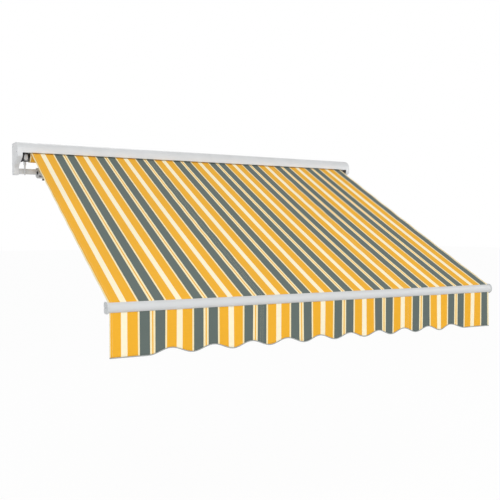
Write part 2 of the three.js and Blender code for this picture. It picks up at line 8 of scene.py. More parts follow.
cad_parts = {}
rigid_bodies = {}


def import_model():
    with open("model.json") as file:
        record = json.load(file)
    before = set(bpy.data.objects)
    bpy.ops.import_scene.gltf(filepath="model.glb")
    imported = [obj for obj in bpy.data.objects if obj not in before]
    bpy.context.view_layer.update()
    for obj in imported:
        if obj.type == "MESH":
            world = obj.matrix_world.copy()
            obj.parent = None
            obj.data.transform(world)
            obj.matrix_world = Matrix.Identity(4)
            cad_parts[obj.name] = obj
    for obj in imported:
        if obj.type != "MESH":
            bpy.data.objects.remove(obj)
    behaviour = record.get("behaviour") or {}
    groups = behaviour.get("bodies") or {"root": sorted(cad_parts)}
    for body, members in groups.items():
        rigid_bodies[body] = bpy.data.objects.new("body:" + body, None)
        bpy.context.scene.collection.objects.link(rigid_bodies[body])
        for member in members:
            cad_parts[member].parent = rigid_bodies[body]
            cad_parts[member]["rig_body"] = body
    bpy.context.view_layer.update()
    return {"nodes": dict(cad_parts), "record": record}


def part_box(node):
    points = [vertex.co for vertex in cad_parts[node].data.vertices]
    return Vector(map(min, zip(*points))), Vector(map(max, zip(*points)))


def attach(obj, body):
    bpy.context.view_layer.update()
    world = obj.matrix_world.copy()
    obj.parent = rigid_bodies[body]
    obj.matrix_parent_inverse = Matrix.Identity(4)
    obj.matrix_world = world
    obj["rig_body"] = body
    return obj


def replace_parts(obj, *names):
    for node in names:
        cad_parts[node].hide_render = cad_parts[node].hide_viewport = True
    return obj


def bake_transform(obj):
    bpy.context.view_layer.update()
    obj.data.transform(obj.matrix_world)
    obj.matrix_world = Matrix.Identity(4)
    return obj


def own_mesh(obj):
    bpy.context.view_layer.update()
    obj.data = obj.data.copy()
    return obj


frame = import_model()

slots = {row["node"]: row["material_slot"] for row in frame["record"]["subparts"]}

# Places and sizes that the part's own source fixes, in metres
SLOPE = math.radians(28.44)
ROLLER_Y, ROLLER_Z, ROLL_RADIUS = -0.108, 0.111, 0.048
BAR_Y, BAR_Z = -1.966, -0.8724
# The bar's grooves, from its middle
CANOPY_GROOVE = dict(y=-0.004, z=0.019, half_mouth=0.0019, radius=0.0048)
VALANCE_GROOVE = dict(y=-0.018, z=-0.016, half_mouth=0.0015, radius=0.0038)
SHOULDER, WRIST = (-1.31, -0.14, -0.02), (-1.31, -1.896, -0.87)
ARM_SLOPE = math.atan2(SHOULDER[2] - WRIST[2], SHOULDER[1] - WRIST[1])
OPEN_HALF_ANGLE, ELBOW_OFFSET = math.radians(12), 0.028
HOOD_TOP, HOOD_REAR, HOOD_FRONT, HOOD_LIP = 0.211, -0.006, -0.2, 0.136
HOOD_RADIUS, HOOD_SKIN = 0.075, 0.0025
CAP_INNER, CAP_OUTER = 1.487, 1.525

# The cloth's sides and thickness; under its outer turn, the roll is a little narrower
FABRIC_LEFT, FABRIC_RIGHT = -1.4225, 1.431
ROLL_LEFT, ROLL_RIGHT = -1.415, 1.425
CLOTH = 0.0007
SEAMS = (-0.478, 0.662)
SEAM_WIDTH, HEM_WIDTH = 0.018, 0.022


# Shader maths

class Value:
    """A shader socket that Python's operators work on."""

    def __init__(self, finish, socket):
        self.finish, self.socket = finish, socket

    def maths(self, operation, *values):
        return self.finish.node("Math", {"operation": operation}, values)

    def __add__(self, other):
        return self.maths("ADD", self, other)

    def __sub__(self, other):
        return self.maths("SUBTRACT", self, other)

    def __rsub__(self, other):
        return self.maths("SUBTRACT", other, self)

    def __mul__(self, other):
        return self.maths("MULTIPLY", self, other)

    def __lt__(self, other):
        return self.maths("LESS_THAN", self, other)

    def __abs__(self):
        return self.maths("ABSOLUTE", self)

    __radd__, __rmul__ = __add__, __mul__

    def sine(self):
        return self.maths("SINE", self)

    def fraction(self):
        return self.maths("FRACT", self)

    def clamped(self):
        return self.finish.node("Clamp", {}, [self])


def socket_name(word):
    return word.replace("_", " ").title().replace("Ior", "IOR")


class Finish:
    """A material, and the one method that adds nodes to it."""

    def __init__(self, name, owner=None, **constants):
        self.material = owner or bpy.data.materials.new(name)
        self.material.use_nodes = True
        self.tree = self.material.node_tree
        self.shader = self.tree.nodes.get("Principled BSDF")
        for word, value in constants.items():
            self.shader.inputs[socket_name(word)].default_value = value

    def node(self, kind, settings=None, inputs=(), output=0):
        made = self.tree.nodes.new("ShaderNode" + kind)
        for key, value in (settings or {}).items():
            if key == "stops":
                ramp = made.color_ramp
                for position, tone in value[1:]:
                    ramp.elements.new(position).color = tone
                ramp.elements[0].color = value[0][1]
                ramp.elements.remove(ramp.elements[-1])
            elif key == "interpolation":
                made.color_ramp.interpolation = value
            else:
                setattr(made, key, value)
        for key, value in inputs.items() if isinstance(inputs, dict) else enumerate(inputs):
            if isinstance(value, Value):
                self.tree.links.new(value.socket, made.inputs[key])
            else:
                made.inputs[key].default_value = value
        return Value(self, made.outputs[output])

    def place(self):
        return self.node("TexCoord", output="Object")

    def part_of(self, vector, axis):
        return self.node("SeparateXYZ", {}, [vector], output=axis)

    def stretched(self, place, scale):
        return self.node("Mapping", {}, {"Vector": place, "Scale": scale})

    def noise(self, place, scale, detail=2.0, roughness=0.5):
        inputs = {"Vector": place, "Scale": scale, "Detail": detail, "Roughness": roughness}
        return self.node("TexNoise", {}, inputs)

    def mix(self, share, tone, other_tone):
        return self.node("Mix", {"data_type": "RGBA"}, {0: share, 6: tone, 7: other_tone}, output=2)

    def feed(self, **values):
        for word, value in values.items():
            self.tree.links.new(value.socket, self.shader.inputs[socket_name(word)])
        return self

    def bump(self, height, distance, strength):
        inputs = {"Strength": strength, "Distance": distance, "Height": height}
        return self.feed(Normal=self.node("Bump", {}, inputs))

    def end(self, shader):
        output = next(node for node in self.tree.nodes if node.type.startswith("OUTPUT"))
        self.tree.links.new(shader.socket, output.inputs["Surface"])


def colour(*levels):
    """A shader colour from the three numbers of an ordinary picture, 0 to 255."""
    shares = [level / 255 for level in levels]
    linear = [s / 12.92 if s < 0.04045 else ((s + 0.055) / 1.055) ** 2.4 for s in shares]
    return (*linear, 1.0)


# Finishes; roughness is the lowest, and spread is what its pattern adds at most

def powder_coat(name, tone, dust_and_shade_tone, roughness, spread=0.14, dust_and_shade_strength=1.3):
    """Satin powder coat with a little orange peel, and dust with painted shade on what faces up."""
    finish = Finish(name, Coat_Weight=0.15, Coat_Roughness=0.25)
    place = finish.place()
    peel = finish.noise(place, scale=700, detail=1)
    cloud = finish.noise(place, scale=7, detail=4, roughness=0.6)
    facing_up = finish.part_of(finish.node("NewGeometry", output="Normal"), "Z")
    # What faces up darkens towards the second tone: part dust, part painted shade along the hood's top
    # edge
    dust_and_shade = (facing_up * cloud * dust_and_shade_strength).clamped()
    finish.feed(Base_Color=finish.mix(dust_and_shade, tone, dust_and_shade_tone), Roughness=cloud * spread + roughness)
    return finish.bump(peel, distance=0.00012, strength=0.35)


def casting(name, tone, dark_tone, roughness, spread=0.15):
    """Coated pressure casting: a slight grain and cloudy tone."""
    finish = Finish(name)
    place = finish.place()
    grain = finish.noise(place, scale=1400)
    cloud = finish.noise(place, scale=26, detail=4, roughness=0.6)
    finish.feed(Base_Color=finish.mix(cloud, tone, dark_tone), Roughness=grain * spread + roughness)
    return finish.bump(grain, distance=0.00015, strength=0.5)


def plated(name, tone, dark_tone, roughness, metallic, spread=0.2):
    """Zinc plated or blackened steel: cloudy plating with fine drawing lines along X."""
    finish = Finish(name, Metallic=metallic)
    place = finish.place()
    lines = finish.noise(finish.stretched(place, (40, 1600, 1600)), scale=1)
    cloud = finish.noise(place, scale=45, detail=3, roughness=0.6)
    finish.feed(Base_Color=finish.mix(cloud, tone, dark_tone), Roughness=cloud * spread + roughness)
    return finish.bump(lines, distance=0.00005, strength=0.4)


def moulded(name, tone, roughness, spread=0.2, brighter=1.8):
    """Moulded plastic with a spark-eroded grain, lighter on its high spots."""
    finish = Finish(name)
    grain = finish.noise(finish.place(), scale=1100, detail=3)
    high_tone = (*(min(1, share * brighter + 0.01) for share in tone[:3]), 1)
    finish.feed(Base_Color=finish.mix(grain, tone, high_tone), Roughness=grain * spread + roughness)
    return finish.bump(grain, distance=0.0001, strength=0.4)


ORANGE = colour(240, 177, 49)
CREAM = colour(252, 242, 210)
PALE = colour(249, 233, 188)
GREY = colour(99, 110, 106)
THREAD_TONE = colour(232, 222, 196)
REPEAT = 0.3257
FIRST_CREAM = -1.338  # middle of the leftmost broad cream stripe
# The repeat's colours and widths in order, as parts of one repeat
STRIPES = [
    (CREAM, 37), (ORANGE, 64), (PALE, 10.5), (GREY, 64), (PALE, 12.5), (ORANGE, 8),
    (PALE, 12.5), (GREY, 64), (PALE, 10.5), (ORANGE, 63),
]
THREAD = 0.0009  # length of one over and under of the weave
STITCH, STITCH_SHARE = 0.0045, 0.72  # from one stitch to the next, and the share that shows
ROW_HALF_WIDTH = 0.0006
HEM_ROW, SEAM_ROW = 0.003, 0.002  # from the edge of the doubled cloth to its row of stitches


def stripes(finish, across):
    """The stripes' colour at a place across the cloth."""
    whole = sum(width for _, width in STRIPES)
    stops, reached = [], 0
    for tone, width in STRIPES:
        stops.append((reached / whole, tone))
        reached += width
    start = FIRST_CREAM - REPEAT * STRIPES[0][1] / whole / 2
    turn = ((across - start) * (1 / REPEAT)).fraction()
    return finish.node("ValToRGB", {"interpolation": "CONSTANT", "stops": stops}, [turn])


def stitch_rows():
    """Where rows of stitches run: one inside each side hem, and two on each seam."""
    rows = [FABRIC_LEFT + HEM_WIDTH - HEM_ROW, FABRIC_RIGHT - HEM_WIDTH + HEM_ROW]
    return rows + [seam + side * (SEAM_WIDTH / 2 - SEAM_ROW) for seam in SEAMS for side in (-1, 1)]


def striped_cloth():
    """Woven acrylic: stripes along the warp, plain weave, slubs, and rows of stitches."""
    finish = Finish("striped_cloth", Sheen_Weight=0.06, Sheen_Roughness=0.5, Specular_IOR_Level=0.15)
    cloth = finish.node("UVMap", {"uv_map": "cloth"})
    across, along = finish.part_of(cloth, "X"), finish.part_of(cloth, "Y")
    slub = finish.noise(finish.stretched(cloth, (900, 14, 1)), scale=1)
    cross = finish.noise(finish.stretched(cloth, (10, 700, 1)), scale=1)
    cloud = finish.noise(cloth, scale=1.7, detail=3, roughness=0.55)
    uneven = (slub + cross + cloud) * (1 / 3)
    darkest, tone_spread, smoothest, rough_spread = 0.83, 0.34, 0.8, 0.16
    shade = {"Value": uneven * tone_spread + darkest, "Color": stripes(finish, across)}
    tone = finish.node("HueSaturation", {}, shade)
    row = sum((abs(across - place) < ROW_HALF_WIDTH) for place in stitch_rows())
    stitch = row * ((along * (1 / STITCH)).fraction() < STITCH_SHARE)
    thread_shows = 0.55
    finish.feed(Base_Color=finish.mix(stitch * thread_shows, tone, THREAD_TONE))
    finish.feed(Roughness=uneven * rough_spread + smoothest)
    turns = 2 * math.pi / THREAD
    weave = (across * turns).sine() * (along * turns).sine()
    weave_height, slub_height, stitch_depth, row_height = 0.25, 0.5, 0.8, 0.3
    height = weave * weave_height + slub * slub_height - stitch * stitch_depth + row * row_height
    return finish.bump(height, distance=0.0003, strength=0.5)


def tape_cloth(rib=0.0012, roughness=0.7, spread=0.15):
    """Grey ribbed binding tape."""
    finish = Finish("binding_tape", Specular_IOR_Level=0.3)
    cloth = finish.node("UVMap", {"uv_map": "cloth"})
    ribs = (finish.part_of(cloth, "X") * (2 * math.pi / rib)).sine()
    cloud = finish.noise(cloth, scale=30, detail=3)
    finish.feed(Base_Color=finish.mix(cloud, colour(160, 164, 163), colour(178, 181, 180)))
    finish.feed(Roughness=cloud * spread + roughness)
    return finish.bump(ribs, distance=0.0002, strength=0.5)


# The second colour of each coat is its dust and painted shade tone on what faces up
WHITE_COAT = powder_coat("white_powder_coat", colour(223, 225, 227), colour(194, 195, 195), 0.34)
# The bar's coat is the white coat made darker: painted shade for a bar whose faces turn down
SHADED_BAR_COAT = powder_coat("shaded_bar_powder_coat", colour(212, 214, 215), colour(198, 199, 199), 0.36)
GREY_COAT = powder_coat("grey_powder_coat", colour(208, 210, 211), colour(193, 193, 190), 0.38)
CAST = casting("light_grey_casting", colour(208, 210, 211), colour(190, 192, 194), 0.42)
ZINC = plated("zinc_plate", colour(178, 181, 184), colour(140, 143, 147), 0.28, metallic=0.85)
DARK_STEEL = plated("blackened_steel", colour(62, 63, 66), colour(38, 39, 41), 0.34, metallic=0.7)
# The bar caps' grey is partly painted shade, darker than the coat their slot gives
CAP_GREY_AND_SHADE = moulded("cap_grey_and_shade_moulding", colour(178, 181, 182), 0.4)
BLACK_PLASTIC = moulded("black_moulding", colour(36, 37, 40), 0.45)
STRIPED = striped_cloth()
TAPE = tape_cloth()
SLOT_FINISH = {
    "coated_metal": WHITE_COAT,
    "coated_steel": GREY_COAT,
    "cast_metal": CAST,
    "zinc_steel": ZINC,
    "dark_steel": DARK_STEEL,
    "black_plastic": BLACK_PLASTIC,
    "striped_fabric": STRIPED,
}


# Making pieces

CORNER = 0.0008  # how far an ordinary edge is rounded


def piece(name, bm, finish, slot, body, sharp=30, recalculate=True):
    """Turns a bmesh into a finished object, which rides on a body if one is given."""
    if recalculate:
        bmesh.ops.recalc_face_normals(bm, faces=bm.faces)
    mesh = bpy.data.meshes.new(name)
    bm.to_mesh(mesh)
    bm.free()
    mesh.shade_smooth()
    mesh.set_sharp_from_angle(angle=math.radians(sharp))
    mesh.materials.append(finish.material)
    made = bpy.data.objects.new(name, mesh)
    bpy.context.scene.collection.objects.link(made)
    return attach(made, body) if body else made


def only_verts(geom):
    return [element for element in geom if isinstance(element, bmesh.types.BMVert)]


def extended(bm, tip, place):
    """A new vertex at a place, joined to the tip by an edge."""
    tip = bmesh.ops.extrude_vert_indiv(bm, verts=[tip])["verts"][0]
    tip.co = place
    return tip


def profile(start, *moves, arc_step=7.5):
    """A face in Y and Z drawn from a start point by straight moves (y, z) and arcs.

    An arc is (y, z, degrees) or (y, z, degrees, squeeze): its centre, its turn, and for an
    oval its size along Y as a share of its size along Z.
    """
    bm = bmesh.new()
    tip = bm.verts.new((0, *start))
    for move in moves:
        if len(move) == 2:
            tip = extended(bm, tip, (0, *move))
            continue
        y, z, degrees, squeeze = (*move, 1.0)[:4]
        centre = Matrix.Translation((0, -y, -z))
        bmesh.ops.scale(bm, vec=(1, 1 / squeeze, 1), space=centre, verts=[tip])
        before = set(bm.verts)
        turned = bmesh.ops.spin(
            bm, geom=[tip], cent=(0, y, z), axis=(1, 0, 0), angle=math.radians(degrees),
            steps=max(2, round(abs(degrees) / arc_step)),
        )
        arc = [tip, *(vert for vert in bm.verts if vert not in before)]
        bmesh.ops.scale(bm, vec=(1, squeeze, 1), space=centre, verts=arc)
        tip = only_verts(turned["geom_last"])[0]
    bmesh.ops.remove_doubles(bm, verts=bm.verts, dist=1e-6)
    bmesh.ops.contextual_create(bm, geom=bm.edges)
    return bm


def draw_out(bm, start, end):
    """Draws a profile's face out along X."""
    bmesh.ops.translate(bm, vec=(start, 0, 0), verts=bm.verts)
    drawn = bmesh.ops.extrude_face_region(bm, geom=bm.faces[:])["geom"]
    bmesh.ops.translate(bm, vec=(end - start, 0, 0), verts=only_verts(drawn))
    bmesh.ops.recalc_face_normals(bm, faces=bm.faces)
    return bm


def sharp_edges(bm, degrees=35):
    least = math.radians(degrees)
    return [edge for edge in bm.edges if edge.is_manifold and edge.calc_face_angle() > least]


def all_at(element, x):
    return all(abs(vert.co.x - x) < 1e-5 for vert in element.verts)


def rim_edges(bm, x):
    """The sharp edges round a drawn out profile's end at x."""
    return [edge for edge in sharp_edges(bm, degrees=60) if all_at(edge, x)]


def corner_edges(bm, y, z):
    """The edge along X at one corner of a drawn out profile."""
    corner = Vector((y, z))
    return [edge for edge in bm.edges if all((vert.co.yz - corner).length < 1e-4 for vert in edge.verts)]


def end_face(bm, x):
    """The largest face square to X at x."""
    return max((face for face in bm.faces if all_at(face, x)), key=lambda face: face.calc_area())


def sink(bm, face, border, wall, depth):
    """Sinks a face behind a border, with a slanted wall between the two."""
    bmesh.ops.inset_region(bm, faces=[face], thickness=border)
    bmesh.ops.inset_region(bm, faces=[face], thickness=wall, depth=-depth)


def round_off(bm, edges, offset, segments=2):
    bmesh.ops.bevel(
        bm, geom=edges, offset=offset, offset_type="OFFSET", affect="EDGES",
        segments=segments, profile=0.5, material=-1, clamp_overlap=True,
    )


def upright_cone(bm, place, height, foot, top, segments):
    """A solid cone or cylinder along Z, centred on a place, with its two radii."""
    bmesh.ops.create_cone(
        bm, cap_ends=True, segments=segments, radius1=foot, radius2=top, depth=height, matrix=place
    )


def screws(name, body, heads, finish=ZINC, slot="zinc_steel"):
    """Button-head screws with a hexagon socket; heads are (place, direction, radius)."""
    height, crown, rim, socket_wall, socket_depth = 0.6, 0.78, 0.3, 0.02, 0.35  # shares of the radius
    bm = bmesh.new()
    for place, direction, radius in heads:
        before = set(bm.faces)
        upright_cone(bm, Matrix(), radius * height, radius, radius * crown, segments=18)
        faces = [face for face in bm.faces if face not in before]
        top = max(faces, key=lambda face: face.calc_center_median().z)
        bmesh.ops.inset_region(bm, faces=[top], thickness=radius * rim)
        for vert in top.verts:
            corner = math.atan2(vert.co.y, vert.co.x) % (math.pi / 3) - math.pi / 6
            vert.co.xy *= math.cos(math.pi / 6) / math.cos(corner)
        wall, depth = radius * socket_wall, radius * socket_depth
        bmesh.ops.inset_region(bm, faces=[top], thickness=wall, depth=-depth)
        verts = {vert for face in bm.faces if face not in before for vert in face.verts}
        turn = Vector((0, 0, 1)).rotation_difference(Vector(direction)).to_matrix().to_4x4()
        bmesh.ops.transform(bm, matrix=Matrix.Translation(place) @ turn, verts=list(verts))
    piece(name, bm, finish, slot, body)


def steps(start, end, count):
    return [start + (end - start) * i / count for i in range(count + 1)]


def stretches(ends, counts):
    """Steps from the first end to the last, with a count for each stretch between two ends."""
    places = []
    for start, end, count in zip(ends, ends[1:], counts):
        places += steps(start, end, count)[:-1]
    return [*places, ends[-1]]


def sheet_mesh(name, columns, rows, place, body, finish=STRIPED, thickness=CLOTH):
    """A grid of cloth: place(x, s) gives the point at x across and s along, which are also its UV."""
    bm = bmesh.new()
    bmesh.ops.create_grid(bm, x_segments=len(columns) - 1, y_segments=len(rows) - 1, size=0.5)
    uv = bm.loops.layers.uv.new("cloth")
    for vert in bm.verts:
        x = columns[round((vert.co.x + 0.5) * (len(columns) - 1))]
        s = rows[round((vert.co.y + 0.5) * (len(rows) - 1))]
        for loop in vert.link_loops:
            loop[uv].uv = (x, s)
        vert.co = place(x, s)
    made = piece(name, bm, finish, "striped_fabric", body, sharp=60)
    thick = made.modifiers.new("thickness", "SOLIDIFY")
    thick.thickness, thick.offset = thickness, 0
    return made


# The canopy: round the roll, down the slope, over the bar's lip and into its groove
LAP = math.radians(35)  # how far the sheet reaches back round the roll
LAID = ROLL_RADIUS + 0.0012  # radius of the cloth that laps the roll
BEND = 0.005  # radius over the bar's lip
GROOVE_Y, GROOVE_Z = BAR_Y + CANOPY_GROOVE["y"], BAR_Z + CANOPY_GROOVE["z"]
OVER = Vector((-math.sin(SLOPE), math.cos(SLOPE)))  # square to the slope, in Y and Z
DOWN = Vector((-math.cos(SLOPE), -math.sin(SLOPE)))
TANGENT = Vector((ROLLER_Y, ROLLER_Z)) + OVER * LAID
LAP_LENGTH = LAID * LAP
SPAN = (TANGENT.x - (GROOVE_Y + BEND * (1 - math.sin(SLOPE)))) / math.cos(SLOPE)
REACH = LAP_LENGTH + SPAN  # along the cloth, to the bend over the bar's lip
BEND_LENGTH = BEND * (math.pi / 2 - SLOPE)
BEND_END = REACH + BEND_LENGTH
BEND_CENTRE = TANGENT + DOWN * SPAN - OVER * BEND
TAIL = BEND_CENTRE.y - GROOVE_Z
CANOPY_ROWS = stretches((0, LAP_LENGTH, REACH, BEND_END, BEND_END + TAIL), (6, 80, 6, 3))
CANOPY_COLUMNS = 120
# The sag is a quarter less at both sides and in the middle, and a quarter more between them
SAG, SAG_EASE, SAG_REPEAT = 0.007, 0.25, 1.42
# Height, reach to both sides of a line, wave length, and how length and start differ from line to line
PUCKER, PUCKER_FADE, PUCKER_LENGTH, PUCKER_GROWTH, PUCKER_SHIFT = 0.0016, 0.07, 0.21, 0.017, 1.9
HEM_DEPTH, UNDER = 0.06, 0.00072  # front hem, and how far the doubled cloth lies below the sheet


def puckers(x, s):
    """Small waves beside the hems and seams, where the doubled cloth winds tighter."""
    total = 0
    for i, line in enumerate((FABRIC_LEFT, *SEAMS, FABRIC_RIGHT)):
        fade = math.exp(-((x - line) / PUCKER_FADE) ** 2)
        length = PUCKER_LENGTH + PUCKER_GROWTH * i
        total += fade * math.sin(s * 2 * math.pi / length + PUCKER_SHIFT * i)
    return total * PUCKER


def round_point(centre, radius, turn):
    """The point on a circle in Y and Z, turned forwards from its top."""
    return centre + Vector((-math.sin(turn), math.cos(turn))) * radius


def canopy_point(x, s, lift=0.0):
    s -= LAP_LENGTH
    if s < 0:
        at = round_point(Vector((ROLLER_Y, ROLLER_Z)), LAID + lift, SLOPE + s / LAID)
    elif s <= SPAN:
        share = s / SPAN
        hang = 4 * share * (1 - share)
        ease = 1 - SAG_EASE * math.cos(2 * math.pi * (x - FABRIC_LEFT) / SAG_REPEAT)
        at = TANGENT + DOWN * s + OVER * (lift - SAG * hang * ease + puckers(x, s) * math.sqrt(hang))
    elif s <= SPAN + BEND_LENGTH:
        at = round_point(BEND_CENTRE, BEND + lift, SLOPE + (s - SPAN) / BEND)
    else:
        at = Vector((GROOVE_Y - lift, BEND_CENTRE.y - (s - SPAN - BEND_LENGTH)))
    return (x, at.x, at.y)


def underside(x, s):
    return canopy_point(x, s, -UNDER)


def canopy():
    whole_width = steps(FABRIC_LEFT, FABRIC_RIGHT, CANOPY_COLUMNS)
    sheet = sheet_mesh("canopy_cloth", whole_width, CANOPY_ROWS, canopy_point, "left_shoulder")
    below_lap = [s for s in CANOPY_ROWS if LAP_LENGTH <= s <= REACH]
    strips = {
        "canopy_hem_left": (FABRIC_LEFT, FABRIC_LEFT + HEM_WIDTH),
        "canopy_hem_right": (FABRIC_RIGHT - HEM_WIDTH, FABRIC_RIGHT),
        "canopy_seam_left": (SEAMS[0] - SEAM_WIDTH / 2, SEAMS[0] + SEAM_WIDTH / 2),
        "canopy_seam_right": (SEAMS[1] - SEAM_WIDTH / 2, SEAMS[1] + SEAM_WIDTH / 2),
    }
    doubled = [
        sheet_mesh(name, steps(left, right, 3), below_lap, underside, "left_shoulder")
        for name, (left, right) in strips.items()
    ]
    hem_rows = [s for s in below_lap if s > REACH - HEM_DEPTH]
    doubled.append(sheet_mesh("canopy_front_hem", whole_width, hem_rows, underside, "left_shoulder"))
    for cloth in (sheet, *doubled):
        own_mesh(cloth)
    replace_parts(sheet, "canopy")


# The roll: the rest of the cloth, wound on its tube
ROLL_TURNS, ROLL_PITCH, WOUND_CLOTH, FACETS = 9, 0.0008, 0.0006, 40  # facets in one turn
ROLL_CORE = ROLL_RADIUS - ROLL_PITCH * ROLL_TURNS
ROLL_START = SLOPE - math.radians(20)
WIDE_TURNS = 1.2  # outer turns that are as wide as the canopy


def roll_point(x, s):
    """s is the angle that is wound so far."""
    if s < (ROLL_TURNS - WIDE_TURNS) * 2 * math.pi:
        x = min(max(x, ROLL_LEFT), ROLL_RIGHT)
    radius = ROLL_CORE + ROLL_PITCH * s / (2 * math.pi)
    return (x, *round_point(Vector((ROLLER_Y, ROLLER_Z)), radius, ROLL_START + s))


def roll():
    columns = [FABRIC_LEFT, *steps(ROLL_LEFT, ROLL_RIGHT, 12), FABRIC_RIGHT]
    rows = steps(0, ROLL_TURNS * 2 * math.pi, ROLL_TURNS * FACETS)
    made = sheet_mesh("cloth_roll", columns, rows, roll_point, "roller", thickness=WOUND_CLOTH)
    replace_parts(made, "fabric_roll")


# The valance. Crest n stands at FIRST_CREST + CREST_PITCH * n - CREST_SHRINK * n ** 2
FIRST_CREST, CREST_PITCH, CREST_SHRINK, CRESTS = -1.062, 0.265, 0.00335, 10
LAST_EASE = 0.3  # how much slower the last crest falls to the straight edge
VALANCE_LEFT, VALANCE_RIGHT = FABRIC_LEFT + 0.003, FABRIC_RIGHT - 0.003
VALANCE_Y, VALANCE_TOP = BAR_Y + VALANCE_GROOVE["y"], BAR_Z + VALANCE_GROOVE["z"]
DROP, WAVE = 0.254, 0.032
VALANCE_COLUMNS, VALANCE_ROWS = 284, 16
STIFF = 0.012  # depth below the groove that hangs straight
SWINGS = ((0.0035, 11.3, 0.6), (0.002, 23.7, 2.1))  # size, turn per metre across, start
SWING_CURVE = 1.4  # how the swing grows with depth
BINDING_WIDTH, BINDING_OVERHANG, BINDING_THICKNESS = 0.0045, 0.0012, 0.0022


def wave_height(x):
    """How far the wavy edge rises above the valance's full drop."""
    square = CREST_PITCH ** 2 - 4 * CREST_SHRINK * (x - FIRST_CREST)
    turn = (CREST_PITCH - math.sqrt(square)) / (2 * CREST_SHRINK)
    turn -= max(0, turn - CRESTS + 1) * LAST_EASE
    if not -0.5 < turn < CRESTS - 0.5:
        return 0.0
    return WAVE * (1 + math.cos(turn * 2 * math.pi)) / 2


def valance_point(x, s):
    """s runs from 0 at the groove to 1 at the wavy edge."""
    drop = (DROP - wave_height(x)) * s
    free = max(0.0, drop - STIFF) / DROP
    swing = sum(size * math.sin(x * rate + start) for size, rate, start in SWINGS)
    return (x, VALANCE_Y + swing * free ** SWING_CURVE, VALANCE_TOP - drop)


def binding_point(x, s):
    """s runs square to the wavy edge."""
    step = 0.001
    rise = (wave_height(x + step) - wave_height(x - step)) / (2 * step)
    up = Vector((-rise, 1)).normalized() * s
    _, y, z = valance_point(x, 1)
    return (x + up.x, y, z + up.y)


def valance():
    columns = steps(VALANCE_LEFT, VALANCE_RIGHT, VALANCE_COLUMNS)
    depths = steps(0, 1, VALANCE_ROWS)
    sheet = sheet_mesh("valance_cloth", columns, depths, valance_point, "front_bar")
    uv = sheet.data.uv_layers["cloth"].uv
    for loop in sheet.data.loops:
        uv[loop.index].vector.y = VALANCE_TOP - sheet.data.vertices[loop.vertex_index].co.z
    rows = [-BINDING_OVERHANG, 0, BINDING_WIDTH / 2, BINDING_WIDTH]
    binding = sheet_mesh(
        "valance_binding", columns, rows, binding_point, "front_bar", TAPE, BINDING_THICKNESS
    )
    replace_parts(sheet, "valance")


# The hood: a shell with a rounded front and a lip turned in below it
HOOD_FOOT, HOOD_CORNER, HOOD_GAP = 0.165, 0.004, 0.0004
HOOD_ARCH = HOOD_FRONT + HOOD_RADIUS
LIP_BEND, LIP_DROP, LIP_REACH = 0.005, 0.003, 0.013


def hood():
    corner_y, corner_z = HOOD_REAR - HOOD_CORNER, HOOD_TOP - HOOD_CORNER
    lip_y, lip_z, lip_end = HOOD_FRONT + LIP_BEND, HOOD_LIP - LIP_DROP, HOOD_FRONT + LIP_REACH
    lip_foot = lip_z - LIP_BEND
    bm = profile(
        (HOOD_REAR, HOOD_FOOT), (HOOD_REAR, corner_z), (corner_y, corner_z, 90),
        (HOOD_ARCH, HOOD_TOP), (HOOD_ARCH, HOOD_LIP, 90), (HOOD_FRONT, lip_z),
        (lip_y, lip_z, 90), (lip_end, lip_foot), (lip_end, lip_foot + HOOD_SKIN),
        (lip_y, lip_foot + HOOD_SKIN), (lip_y, lip_z, -90), (HOOD_FRONT + HOOD_SKIN, HOOD_LIP),
        (HOOD_ARCH, HOOD_LIP, -90), (corner_y, HOOD_TOP - HOOD_SKIN),
        (HOOD_REAR - HOOD_SKIN, corner_z), (HOOD_REAR - HOOD_SKIN, HOOD_FOOT),
    )
    end = CAP_INNER - HOOD_GAP
    made = piece("hood_shell", draw_out(bm, -end, end), WHITE_COAT, "coated_metal", "root")
    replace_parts(made, "hood")


# End caps
CAP_BACK, CAP_FOOT, CAP_BOTTOM = -0.002, -0.062, -0.028  # the foot's front and the lowest edge
CAP_CHIN, CAP_KNEE = 0.0995, 0.033  # heights at which the front slants back and meets the foot
CAP_WALL, CAP_DEPTH, CAP_DRAFT = 0.003, 0.034, 0.0005
PANEL_BORDER, PANEL_DEPTH = 0.012, 0.0012
CAP_EDGE = 0.004
# Y, Z and radius of the corners that are rounded
CAP_CORNERS = (
    (HOOD_FRONT, CAP_CHIN, 0.012), (CAP_FOOT, CAP_KNEE, 0.014), (CAP_FOOT, CAP_BOTTOM, 0.011),
)
CAP_SCREWS, CAP_SCREW_RADIUS = ((-0.024, 0.185), (-0.165, 0.135), (-0.03, 0.002)), 0.0045
CAP_SCREW_LIFT = 0.0002  # from the panel to the middle of the head


def end_cap(side, turn):
    """A hollow moulded cover with a rounded edge and a sunk panel, held by three screws."""
    bm = profile(
        (CAP_BACK, CAP_BOTTOM), (CAP_BACK, HOOD_TOP), (HOOD_ARCH, HOOD_TOP), (HOOD_ARCH, HOOD_LIP, 90),
        (HOOD_FRONT, CAP_CHIN), (CAP_FOOT, CAP_KNEE), (CAP_FOOT, CAP_BOTTOM),
    )
    draw_out(bm, -CAP_OUTER, -CAP_INNER)
    for y, z, radius in CAP_CORNERS:
        round_off(bm, corner_edges(bm, y, z), offset=radius, segments=5)
    sink(bm, end_face(bm, -CAP_INNER), CAP_WALL, CAP_DRAFT, CAP_DEPTH)
    sink(bm, end_face(bm, -CAP_OUTER), PANEL_BORDER, PANEL_DEPTH, PANEL_DEPTH)
    round_off(bm, rim_edges(bm, -CAP_OUTER), CAP_EDGE, segments=4)
    bmesh.ops.scale(bm, vec=(-turn, 1, 1), verts=bm.verts)
    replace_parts(piece("cover_" + side, bm, WHITE_COAT, "coated_metal", "root"), "end_cap_" + side)
    face = turn * (CAP_OUTER - PANEL_DEPTH + CAP_SCREW_LIFT)
    heads = [((face, y, z), (turn, 0, 0), CAP_SCREW_RADIUS) for y, z in CAP_SCREWS]
    screws("cover_screws_" + side, "root", heads)
